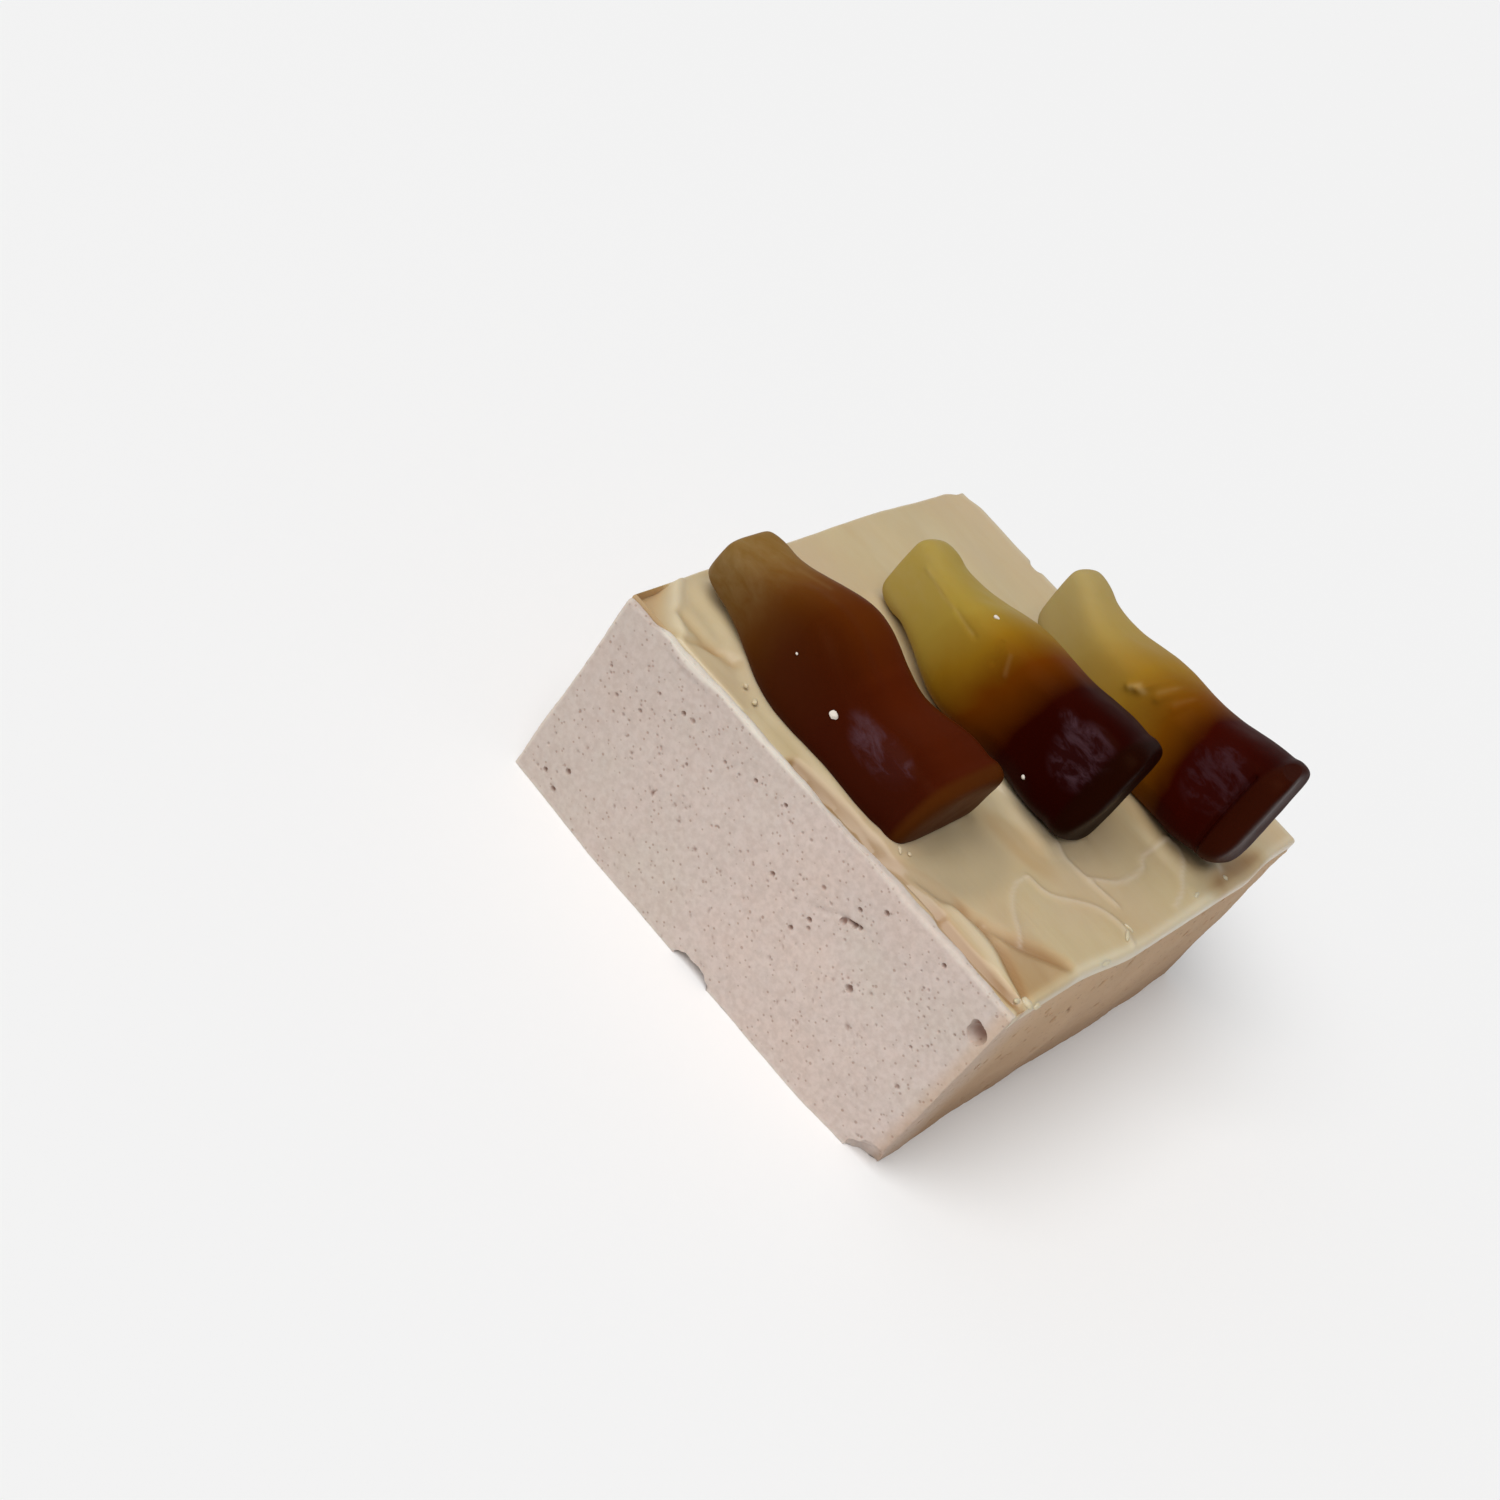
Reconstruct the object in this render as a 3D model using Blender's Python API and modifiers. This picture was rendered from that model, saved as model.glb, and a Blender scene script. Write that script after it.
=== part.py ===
"""A square-cut marshmallow with a thin glazed top and three bottle-shaped gummies pressed into it.

Metres, +Z up. The block lies on its flat underside. +X runs along the cut front face towards
the gummies' bases, and the cut front face looks towards -Y.
"""
import math

import bmesh
import bpy
from mathutils import Matrix, Vector, noise
from mathutils.bvhtree import BVHTree

MM = 0.001

# The block
BLOCK_WIDTH = 60.0 * MM
BLOCK_DEPTH = 67.3 * MM
BLOCK_HEIGHT = 26.0 * MM
BLOCK_CELL = 3.4 * MM
CUT_EDGE_ROUNDING = 0.7 * MM
FACE_UNEVENNESS = 0.18 * MM
FRONT_BELLY = 0.9 * MM
RIGHT_UNDERCUT = 1.1 * MM
BACK_FALL = 1.1 * MM

# The glaze
GAP = 0.3 * MM
GLAZE_TOP = 27.65 * MM
GLAZE_THINNEST = 0.45 * MM
GLAZE_CELL = 2.2 * MM
GLAZE_WALL_BULGE = 0.22 * MM
GLAZE_RIM_DROP = 0.3 * MM
GLAZE_RIGHT_OVERHANG = 0.9 * MM
GLAZE_CREEP_HEIGHT = 0.7 * MM
GLAZE_CREEP_REACH = 1.9 * MM
GLAZE_SWIRL_HEIGHT = 0.12 * MM

# A gummy bottle, from its base along its own axis: distance, half width, thickness
GUMMY_LENGTH = 37.1 * MM
GUMMY_STATIONS = {
    "base": (0.0 * MM, 7.0 * MM, 8.5 * MM),
    "base_rim": (1.2 * MM, 7.4 * MM, 9.3 * MM),
    "foot": (5.0 * MM, 7.4 * MM, 9.5 * MM),
    "waist": (11.4 * MM, 6.85 * MM, 7.3 * MM),
    "belly": (20.0 * MM, 7.0 * MM, 12.4 * MM),
    "shoulder": (25.3 * MM, 5.5 * MM, 11.2 * MM),
    "neck": (30.5 * MM, 4.5 * MM, 7.6 * MM),
    "cap_bead": (34.7 * MM, 4.8 * MM, 5.4 * MM),
    "cap": (GUMMY_LENGTH, 4.5 * MM, 5.0 * MM),
}
GUMMY_DRAFT = 0.13
GUMMY_BACK_FLATNESS = 0.52
GUMMY_CORNER = 0.27
GUMMY_CORNER_PULL = 0.985
GUMMY_SMOOTHING_GAIN = 0.97
GUMMY_SINK = 0.7 * MM

# Where each gummy's base stands, from the block's lower front left corner, and how it lies:
# place, turn, dip and roll in degrees, sideways bow at the ends, width and thickness factors
GUMMIES = {
    "gummy_bottle_1": ((39.1, 9.0, 32.7), -2.2, 3.3, 4.1, 2.1, 0.97, 1.02),
    "gummy_bottle_2": ((47.0, 27.4, 35.6), -9.7, -4.5, 74.0, 0.7, 0.99, 0.99),
    "gummy_bottle_3": ((57.9, 43.5, 35.8), -13.2, -5.7, 79.2, 2.6, 1.035, 1.00),
}

PARTS_NAME = "gummy_topped_marshmallow"


def clear_scene():
    for obj in list(bpy.data.objects):
        bpy.data.objects.remove(obj, do_unlink=True)


def new_collection(name):
    collection = bpy.data.collections.new(name)
    bpy.context.scene.collection.children.link(collection)
    return collection


def plain_material(name, colour, roughness):
    material = bpy.data.materials.new(name)
    material.use_nodes = True
    shader = material.node_tree.nodes["Principled BSDF"]
    shader.inputs["Base Color"].default_value = (*colour, 1.0)
    shader.inputs["Roughness"].default_value = roughness
    shader.inputs["Metallic"].default_value = 0.0
    return material


def add_object(bm, name, collection, material=None, smooth_angle=40.0):
    bm.normal_update()
    bmesh.ops.recalc_face_normals(bm, faces=bm.faces)
    mesh = bpy.data.meshes.new(name)
    bm.to_mesh(mesh)
    bm.free()
    obj = bpy.data.objects.new(name, mesh)
    collection.objects.link(obj)
    if material is not None:
        mesh.materials.append(material)
    mesh.shade_smooth()
    mesh.set_sharp_from_angle(angle=math.radians(smooth_angle))
    return obj


def slice_along(bm, axis, places):
    """Cuts the whole mesh square across one axis at each place."""
    normal = Vector((0.0, 0.0, 0.0))
    normal[axis] = 1.0
    for place in places:
        point = Vector((0.0, 0.0, 0.0))
        point[axis] = place
        everything = bm.verts[:] + bm.edges[:] + bm.faces[:]
        bmesh.ops.bisect_plane(bm, geom=everything, dist=1e-7, plane_co=point, plane_no=normal)


def even_cuts(low, high, cell):
    count = max(2, round((high - low) / cell))
    return [low + (high - low) * k / count for k in range(1, count)]


def box_mesh(low, high):
    bm = bmesh.new()
    size = [b - a for a, b in zip(low, high)]
    middle = [(a + b) / 2 for a, b in zip(low, high)]
    bmesh.ops.create_cube(bm, size=1.0, matrix=Matrix.Translation(middle) @ Matrix.Diagonal((*size, 1.0)))
    return bm


def ease(value):
    value = min(1.0, max(0.0, value))
    return value * value * (3.0 - 2.0 * value)


def bump(value, centre, reach):
    return math.exp(-((value - centre) / reach) ** 2)


def back_fall(y):
    """How much lower the block and its glaze stand towards the back."""
    return BACK_FALL * ease((y / BLOCK_WIDTH - 0.7) / 0.42)


def face_waves(place, seed):
    return noise.noise(place * 110.0 + Vector((seed, 0.0, 0.0)))


def make_block(collection, material):
    """The cut foam block: rounded edges, a soft belly low on the front, an undercut on the right."""
    bm = box_mesh((0.0, 0.0, 0.0), (BLOCK_WIDTH, BLOCK_DEPTH, BLOCK_HEIGHT))
    bmesh.ops.bevel(bm, geom=bm.edges[:], offset=CUT_EDGE_ROUNDING, segments=2, profile=0.6, affect="EDGES")
    edge = 2.0 * CUT_EDGE_ROUNDING
    for axis, size in enumerate((BLOCK_WIDTH, BLOCK_DEPTH, BLOCK_HEIGHT)):
        slice_along(bm, axis, even_cuts(edge, size - edge, BLOCK_CELL))
    for vert in bm.verts:
        x, y, z = vert.co
        low = 1.0 - z / BLOCK_HEIGHT
        ends = ease(z / (4 * MM)) * ease((BLOCK_HEIGHT - z) / (4 * MM))
        waves = FACE_UNEVENNESS * ends
        if y < CUT_EDGE_ROUNDING:
            along = math.sin(math.pi * x / BLOCK_WIDTH)
            vert.co.y -= FRONT_BELLY * ease(low * 1.2) * along - waves * face_waves(vert.co, 1.7)
        if y > BLOCK_DEPTH - CUT_EDGE_ROUNDING:
            vert.co.y += waves * face_waves(vert.co, 5.1)
        if x < CUT_EDGE_ROUNDING:
            vert.co.x += waves * face_waves(vert.co, 8.3)
        if x > BLOCK_WIDTH - CUT_EDGE_ROUNDING:
            vert.co.x -= RIGHT_UNDERCUT * low * low - waves * face_waves(vert.co, 3.9)
        vert.co.z -= back_fall(y) * ease((z / BLOCK_HEIGHT - 0.5) / 0.45)
    return add_object(bm, "marshmallow_block", collection, material)


def make_scoop(name, centre, radii, collection):
    """A lumpy ball that takes a chip out of the block."""
    bm = bmesh.new()
    bmesh.ops.create_icosphere(bm, subdivisions=2, radius=1.0)
    for vert in bm.verts:
        vert.co *= 1.0 + 0.12 * noise.noise(vert.co * 1.7 + Vector(centre) * 100.0)
        vert.co = Vector(c + r * v for c, r, v in zip(centre, radii, vert.co))
    return add_object(bm, name, collection)


def cut_with(obj, cutter):
    modifier = obj.modifiers.new(cutter.name, "BOOLEAN")
    modifier.operation = "DIFFERENCE"
    modifier.object = cutter
    cutter.hide_render = True
    cutter.display_type = "WIRE"


def chip_block(block, cutters):
    """The broken notch under the front, the chipped lower corner and the round bubble pit."""
    scoops = {
        "front_notch": ((30.9, -1.2, -0.3), (3.3, 3.2, 1.5)),
        "corner_chip": ((60.2, -0.6, -0.6), (4.6, 2.8, 4.2)),
        "bubble_pit": ((58.7, -0.3, 22.2), (1.1, 1.0, 1.1)),
    }
    for name, (centre, radii) in scoops.items():
        centre = [c * MM for c in centre]
        radii = [r * MM for r in radii]
        cut_with(block, make_scoop(name, centre, radii, cutters))


def station_curve():
    """Half width and thickness at any distance from the base, eased between the named stations."""
    rows = list(GUMMY_STATIONS.values())

    def at(distance):
        for (s0, w0, t0), (s1, w1, t1) in zip(rows, rows[1:]):
            if distance <= s1 or (s1, w1, t1) == rows[-1]:
                share = ease((distance - s0) / (s1 - s0))
                return w0 + (w1 - w0) * share, t0 + (t1 - t0) * share
        return rows[-1][1:]

    return at


def gummy_mesh(lie, clearance):
    """A squared bottle cage, swept from base to cap, then set down on the glaze."""
    place, turn, dip, roll, bow, width_factor, thick_factor = lie
    at = station_curve()
    rows = list(GUMMY_STATIONS.values())
    thickest = max(t for _, _, t in rows) * thick_factor
    bm = box_mesh((0.0, -1.0, -1.0), (GUMMY_LENGTH, 1.0, 1.0))
    between = [(a[0] + b[0]) / 2 for a, b in zip(rows[2:], rows[3:])]
    slice_along(bm, 0, [row[0] for row in rows[1:-1]] + between[:-1])
    for axis in (1, 2):
        slice_along(bm, axis, (GUMMY_CORNER - 1.0, 1.0 - GUMMY_CORNER))
    turned = (Matrix.Rotation(math.radians(turn), 4, "Z") @ Matrix.Rotation(math.radians(dip), 4, "Y")
              @ Matrix.Rotation(math.radians(roll), 4, "X"))
    base = Vector(place) * MM
    for vert in bm.verts:
        distance, across, through = vert.co
        half_width, thickness = at(distance)
        half_width *= width_factor
        thickness *= thick_factor
        corner = GUMMY_CORNER_PULL if abs(across) > 0.99 and abs(through) > 0.99 else 1.0
        taper = 1.0 - GUMMY_DRAFT * (1.0 + through) / 2.0
        y = across * corner * (half_width * GUMMY_SMOOTHING_GAIN * taper + clearance)
        z = through * corner * (thickness / 2.0 * GUMMY_SMOOTHING_GAIN + clearance)
        z += GUMMY_BACK_FLATNESS * (thickness - thickest) / 2.0
        x = distance + clearance * (2.0 * distance / GUMMY_LENGTH - 1.0)
        y += 4.0 * bow * MM * (distance / GUMMY_LENGTH - 0.5) ** 2
        vert.co = base + turned @ Vector((-x, y, z))
        vert.co.z = max(vert.co.z, GLAZE_TOP - GUMMY_SINK - clearance)
    return bm


def soften(obj, levels):
    modifier = obj.modifiers.new("rounding", "SUBSURF")
    modifier.levels = levels
    modifier.render_levels = levels


def make_gummies(collection, cutters, material):
    gummies = []
    for name, lie in GUMMIES.items():
        gummy = add_object(gummy_mesh(lie, 0.0), name, collection, material, 180.0)
        soften(gummy, 1)
        socket = add_object(gummy_mesh(lie, 1.15 * GAP), name + "_socket", cutters, None, 180.0)
        soften(socket, 1)
        gummies.append((gummy, socket))
    return gummies


def glaze_height(x, y, gummy_distance):
    """Top of the glaze: a level pour that falls a little to the back, with folds and creep."""
    u, v = x / BLOCK_WIDTH, y / BLOCK_WIDTH
    height = GLAZE_TOP - back_fall(y)
    # a groove behind the front rim, deeper to the right
    groove_line = 0.012 + 0.04 * ease((u - 0.45) / 0.35)
    height -= 0.5 * MM * ease((u - 0.4) / 0.3) * bump(v, groove_line, 0.022)
    # the long fold that runs from the first gummy's base to the right edge
    fold_line = 0.05 + 0.17 * ease((u - 0.55) / 0.5)
    height += 0.4 * MM * ease((u - 0.6) / 0.08) * bump(v, fold_line - 0.035, 0.03)
    height -= 0.35 * MM * ease((u - 0.6) / 0.08) * bump(v, fold_line + 0.02, 0.025)
    # the swirl at the front left corner
    reach = math.hypot(u, v)
    height -= 0.35 * MM * (1.0 - ease((reach - 0.05) / 0.06))
    height += 0.2 * MM * bump(reach, 0.135, 0.03)
    # slow swirls left by the spatula
    height += GLAZE_SWIRL_HEIGHT * math.sin(9.0 * u + 4.0 * v + 2.0 * math.sin(7.0 * v))
    # the glaze creeps up where it meets a gummy
    height += GLAZE_CREEP_HEIGHT * math.exp(-(gummy_distance / GLAZE_CREEP_REACH) ** 2)
    return height


def right_overhang(y):
    v = y / BLOCK_WIDTH
    return GLAZE_RIGHT_OVERHANG * ease((v - 0.15) / 0.4) * ease((1.12 - v) / 0.12)


def wall_side(place, size):
    """-1 on the low wall, 1 on the high wall, 0 between them."""
    return (place > size - 1e-6) - (place < 1e-6)


def make_glaze(collection, gummies, material):
    """The poured top: a thin slab with folds, a soft wall and sockets for the gummies."""
    underside = BLOCK_HEIGHT + GAP
    bm = box_mesh((0.0, 0.0, underside), (BLOCK_WIDTH, BLOCK_DEPTH, GLAZE_TOP))
    slice_along(bm, 0, even_cuts(0.0, BLOCK_WIDTH, GLAZE_CELL))
    slice_along(bm, 1, even_cuts(0.0, BLOCK_DEPTH, GLAZE_CELL))
    middle = (underside + GLAZE_TOP) / 2
    slice_along(bm, 2, [middle])
    depsgraph = bpy.context.evaluated_depsgraph_get()
    trees = [BVHTree.FromObject(gummy, depsgraph) for gummy, _ in gummies]
    for vert in bm.verts:
        x, y, z = vert.co
        at_wall = min(x, y, BLOCK_WIDTH - x, BLOCK_DEPTH - y) < 1e-6
        over = right_overhang(y) * ease((x / BLOCK_WIDTH - 0.9) / 0.1)
        nearest = min(tree.find_nearest(Vector((x, y, GLAZE_TOP)))[3] for tree in trees)
        top = glaze_height(x, y, nearest) - (GLAZE_RIM_DROP if at_wall else 0.0)
        top = max(top + back_fall(y), underside + GLAZE_THINNEST)
        bulge = Vector((0.0, 0.0))
        if abs(z - middle) < 1e-6:
            bulge = Vector((wall_side(x, BLOCK_WIDTH), wall_side(y, BLOCK_DEPTH))) * GLAZE_WALL_BULGE
        share = (z - underside) / (GLAZE_TOP - underside)
        height = underside + (top - underside) * share - back_fall(y)
        vert.co = Vector((x + over + bulge.x, y + bulge.y, height))
    glaze = add_object(bm, "glaze_top", collection, material)
    for _, socket in gummies:
        cut_with(glaze, socket)
    return glaze


def centre_on_base(objects):
    """Hangs the pieces from one empty at the middle of the whole part's underside."""
    depsgraph = bpy.context.evaluated_depsgraph_get()
    corners = [obj.matrix_world @ vert.co for obj in objects
               for vert in obj.evaluated_get(depsgraph).data.vertices]
    low = [min(c[axis] for c in corners) for axis in range(3)]
    high = [max(c[axis] for c in corners) for axis in range(3)]
    origin = bpy.data.objects.new("part_origin", None)
    origin.location = (-(low[0] + high[0]) / 2, -(low[1] + high[1]) / 2, -low[2])
    return origin


def main():
    clear_scene()
    parts = new_collection(PARTS_NAME)
    cutters = new_collection("cutters")
    foam = plain_material("pale_pink_foam", (0.62, 0.50, 0.44), 0.85)
    cream = plain_material("cream_glaze", (0.60, 0.49, 0.32), 0.35)
    amber = plain_material("amber_gummy", (0.20, 0.05, 0.01), 0.4)

    block = make_block(parts, foam)
    chip_block(block, cutters)
    gummies = make_gummies(parts, cutters, amber)
    bpy.context.view_layer.update()
    glaze = make_glaze(parts, gummies, cream)
    bpy.context.view_layer.update()

    pieces = [block, glaze] + [gummy for gummy, _ in gummies]
    origin = centre_on_base(pieces)
    parts.objects.link(origin)
    for obj in pieces + list(cutters.objects):
        obj.parent = origin
    bpy.context.view_layer.update()


main()
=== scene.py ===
"""The finished surfaces of a square-cut marshmallow with a poured glaze and three bottle gummies."""
import math
import random

import bmesh
import bpy
import numpy as np
from mathutils import Matrix, Vector, kdtree
from mathutils.bvhtree import BVHTree


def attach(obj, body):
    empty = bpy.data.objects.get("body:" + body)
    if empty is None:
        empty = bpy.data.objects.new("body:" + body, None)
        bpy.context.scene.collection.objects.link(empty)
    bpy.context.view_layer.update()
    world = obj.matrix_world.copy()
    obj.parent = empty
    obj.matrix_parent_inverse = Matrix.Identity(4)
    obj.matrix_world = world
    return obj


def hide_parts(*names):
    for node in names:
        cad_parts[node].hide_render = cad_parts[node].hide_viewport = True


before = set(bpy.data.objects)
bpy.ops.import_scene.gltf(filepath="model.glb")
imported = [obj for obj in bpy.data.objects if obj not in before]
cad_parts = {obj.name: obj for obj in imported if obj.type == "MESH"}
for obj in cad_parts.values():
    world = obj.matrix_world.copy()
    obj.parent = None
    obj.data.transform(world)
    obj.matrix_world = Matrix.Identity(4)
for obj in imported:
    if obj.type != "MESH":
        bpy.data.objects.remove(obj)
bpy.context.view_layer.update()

MM = 0.001

# A vertex this near to a plane lies on it
CLOSE = 0.1 * MM

# The slab, in the frame of the part
LEFT, FRONT = -30.45 * MM, -33.30 * MM
SIDE = 60.0 * MM
RIGHT, BACK = LEFT + SIDE, FRONT + 67.3 * MM
FOAM_TOP = 26.0 * MM
GLAZE_TOP = 27.65 * MM

# How far the finished surfaces reach from the middle, to the back and front and to the sides, and up
DEEPEST = 34.15 * MM
WIDEST = 30.6 * MM
HIGHEST = 44.65 * MM

# Heights on the front are shares of its edge, counted from here
FRONT_ZERO = 0.9 * MM


def on_top(u, v, height=GLAZE_TOP):
    """A place on the slab from shares of its front edge: u to the right, v to the back."""
    return Vector((LEFT + u * SIDE, FRONT + v * SIDE, height))


def on_front(u, height):
    """A place on the front from shares of its edge: u to the right, and up."""
    return Vector((LEFT + u * SIDE, FRONT, height * SIDE + FRONT_ZERO))


# Modelling


def deselect():
    if bpy.context.mode != "OBJECT":
        bpy.ops.object.mode_set(mode="OBJECT")
    bpy.ops.object.select_all(action="DESELECT")


def take(obj, *others):
    """Selects the pieces alone, the first of them as the active one."""
    deselect()
    for piece in (obj, *others):
        piece.select_set(True)
    bpy.context.view_layer.objects.active = obj


def work_on(obj, kind="VERT"):
    take(obj)
    bpy.ops.object.mode_set(mode="EDIT")
    bpy.ops.mesh.select_mode(type=kind)
    bpy.ops.mesh.select_all(action="DESELECT")


def leave():
    bpy.ops.object.mode_set(mode="OBJECT")


def places(obj):
    """Every vertex place of the mesh in work, as rows."""
    bm = bmesh.from_edit_mesh(obj.data)
    return np.array([vert.co for vert in bm.verts])


def pick_rows(obj, chosen):
    """Selects the vertices whose row is chosen."""
    bm = bmesh.from_edit_mesh(obj.data)
    bm.select_mode = {"VERT"}
    for vert in bm.verts:
        vert.select = False
    bm.verts.ensure_lookup_table()
    for index in np.nonzero(chosen)[0]:
        bm.verts[int(index)].select = True
    bm.select_flush_mode()
    bmesh.update_edit_mesh(obj.data)


def pick_edges(obj, test):
    bm = bmesh.from_edit_mesh(obj.data)
    for edge in bm.edges:
        edge.select_set(test(*(vert.co for vert in edge.verts)))
    bmesh.update_edit_mesh(obj.data)


def pick_faces(obj, test):
    bm = bmesh.from_edit_mesh(obj.data)
    for face in bm.faces:
        face.select_set(test(face.calc_center_median(), face.normal))
    bmesh.update_edit_mesh(obj.data)


def pull(obj, chosen, move, reach=0.0, falloff="SMOOTH"):
    """Moves the chosen vertices, and what is within reach of them by less and less."""
    pick_rows(obj, chosen)
    if reach:
        bpy.ops.transform.translate(value=move, use_proportional_edit=True, proportional_edit_falloff=falloff,
                                    proportional_size=reach)
    else:
        bpy.ops.transform.translate(value=move)


def level_off(obj, chosen, axis, place):
    """Presses the chosen vertices flat onto a plane across one axis."""
    pick_rows(obj, chosen)
    squash, middle = [1, 1, 1], [0, 0, 0]
    squash[axis], middle[axis] = 0, place
    bpy.ops.transform.resize(value=squash, center_override=middle)


def add_brick(name, low, high):
    deselect()
    low, high = Vector(low), Vector(high)
    bpy.ops.mesh.primitive_cube_add(size=1.0, location=(low + high) / 2)
    brick = bpy.context.active_object
    brick.name = brick.data.name = name
    brick.scale = high - low
    bpy.ops.object.transform_apply(location=True, rotation=True, scale=True)
    return brick


def slice_rows(obj, axis, *cuts):
    """Cuts the long edges that run along one axis, once for each number of cuts."""
    for count in cuts:
        def along(a, b):
            run = [abs(a[k] - b[k]) for k in range(3)]
            return run[axis] > 0.2 * MM and sum(run) < run[axis] * 1.001
        pick_edges(obj, along)
        bpy.ops.mesh.subdivide(number_cuts=count)


def cut_levels(axis, low, high, count):
    """Cuts straight through the mesh in work at even levels along one axis."""
    normal = [0, 0, 0]
    normal[axis] = 1
    for step in range(1, count):
        spot = [0, 0, 0]
        spot[axis] = low + (high - low) * step / count
        bpy.ops.mesh.select_all(action="SELECT")
        bpy.ops.mesh.bisect(plane_co=spot, plane_no=normal)


def finish_with(obj, kind, **settings):
    """Adds a modifier and applies it."""
    if bpy.context.mode != "OBJECT":
        bpy.ops.object.mode_set(mode="OBJECT")
    bpy.context.view_layer.objects.active = obj
    modifier = obj.modifiers.new(kind.lower(), kind)
    for key, value in settings.items():
        setattr(modifier, key, value)
    bpy.ops.object.modifier_apply(modifier=modifier.name)


def raise_by(obj, weights, move, direction="Z"):
    """Moves the mesh along a direction by a painted share of the full move."""
    group = obj.vertex_groups.new(name="rise")
    for index in np.nonzero(weights > 0.003)[0]:
        group.add([int(index)], float(min(weights[index], 1.0)), "REPLACE")
    finish_with(obj, "DISPLACE", vertex_group="rise", direction=direction, strength=move, mid_level=0.0)
    obj.vertex_groups.clear()


def rows_of(obj):
    """Every vertex place of the finished mesh, as rows."""
    at = np.empty(3 * len(obj.data.vertices))
    obj.data.vertices.foreach_get("co", at)
    return at.reshape(-1, 3)


def paint(obj, name, values):
    layer = obj.data.attributes.new(name, "FLOAT", "POINT")
    layer.data.foreach_set("value", np.asarray(values, np.float32))


def ease(share):
    share = np.clip(share, 0.0, 1.0)
    return share * share * (3 - 2 * share)


def bell(values, middle, half):
    """One at the middle, falling away on both sides."""
    return np.exp(-((values - middle) / half) ** 2)


def roughen(obj, name, size, strength, depth=2, direction="NORMAL"):
    """Swells and dents the mesh by a cloud pattern of lumps of a size."""
    clouds = bpy.data.textures.new(name, "CLOUDS")
    clouds.noise_scale = size
    clouds.noise_depth = depth
    finish_with(obj, "DISPLACE", texture=clouds, texture_coords="LOCAL", direction=direction,
                strength=strength, mid_level=0.5)


def shade_softly(obj):
    """Smooths the shading, but for edges that turn by more than 50 degrees."""
    take(obj)
    bpy.ops.object.shade_smooth_by_angle(angle=math.radians(50))


def away_from_line(spots, line):
    """Distance in plan of each spot from a line through points."""
    best = np.full(len(spots), 1e9)
    for a, b in zip(line, line[1:]):
        a, b = np.array(a), np.array(b)
        run = b - a
        share = np.clip(((spots - a) @ run) / (run @ run), 0.0, 1.0)
        best = np.minimum(best, np.linalg.norm(spots - a - share[:, None] * run, axis=1))
    return best


def through(points, steps=6):
    """A smooth line through the given points."""
    points = [np.array(p, float) for p in points]
    if len(points) < 3:
        return points
    ends = [2 * points[0] - points[1]] + points + [2 * points[-1] - points[-2]]
    line = []
    for p0, p1, p2, p3 in zip(ends, ends[1:], ends[2:], ends[3:]):
        for k in range(steps):
            t = k / steps
            line.append(0.5 * (2 * p1 + (p2 - p0) * t + (2 * p0 - 5 * p1 + 4 * p2 - p3) * t * t
                               + (3 * p1 - p0 - 3 * p2 + p3) * t ** 3))
    return line + [points[-1]]


def plan_line(shares):
    return through([on_top(*pair).to_2d() for pair in shares])


# Finishes


def new_finish(name):
    finish = bpy.data.materials.new(name)
    finish.use_nodes = True
    tree = finish.node_tree
    return finish, tree, tree.nodes["Principled BSDF"]


def add_node(tree, kind, inputs=None, **settings):
    node = tree.nodes.new(kind)
    for key, value in settings.items():
        setattr(node, key, value)
    for key, value in (inputs or {}).items():
        if isinstance(value, bpy.types.NodeSocket):
            tree.links.new(value, node.inputs[key])
        else:
            node.inputs[key].default_value = value
    return node


def ramp(tree, value, *stops):
    node = add_node(tree, "ShaderNodeValToRGB", {"Fac": value})
    marks = node.color_ramp.elements
    while len(marks) < len(stops):
        marks.new(0.5)
    for mark, (place, colour) in zip(marks, stops):
        mark.position = place
        mark.color = (*colour, 1.0) if not isinstance(colour, float) else (colour, colour, colour, 1.0)
    return node.outputs["Color"]


def blend(tree, share, one, two):
    """Goes from one colour to the other by a share."""
    node = add_node(tree, "ShaderNodeMix", data_type="RGBA")
    for socket, value in ((node.inputs[0], share), (node.inputs[6], one), (node.inputs[7], two)):
        if isinstance(value, bpy.types.NodeSocket):
            tree.links.new(value, socket)
        else:
            socket.default_value = value if isinstance(value, float) else (*value, 1.0)
    return node.outputs[2]


def sums(tree, operation, one, two=0.0, clamp=False):
    return add_node(tree, "ShaderNodeMath", {0: one, 1: two}, operation=operation, use_clamp=clamp).outputs[0]


def waver(tree, pattern, amount):
    """A pattern taken about its middle, so that it goes both ways."""
    return sums(tree, "MULTIPLY", sums(tree, "SUBTRACT", pattern, 0.5), amount)


def grow(tree, value, low, high, least=0.0, most=1.0, kind="LINEAR"):
    """Goes from least to most while the value goes from low to high."""
    levels = {"Value": value, "From Min": low, "From Max": high, "To Min": least, "To Max": most}
    return add_node(tree, "ShaderNodeMapRange", levels, interpolation_type=kind).outputs[0]


def painted(tree, name):
    """What is painted on the piece under a name."""
    return add_node(tree, "ShaderNodeAttribute", attribute_name=name).outputs["Fac"]


def object_place(tree):
    return add_node(tree, "ShaderNodeTexCoord").outputs["Object"]


def axes_of(tree, place):
    return add_node(tree, "ShaderNodeSeparateXYZ", {"Vector": place}).outputs


def narrowed(tree, place, scale, turn=0.0):
    """The place for a pattern that is narrower along some axes, turned in plan by degrees."""
    fit = {"Vector": place, "Rotation": (0, 0, math.radians(turn)), "Scale": scale}
    return add_node(tree, "ShaderNodeMapping", fit).outputs[0]


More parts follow.
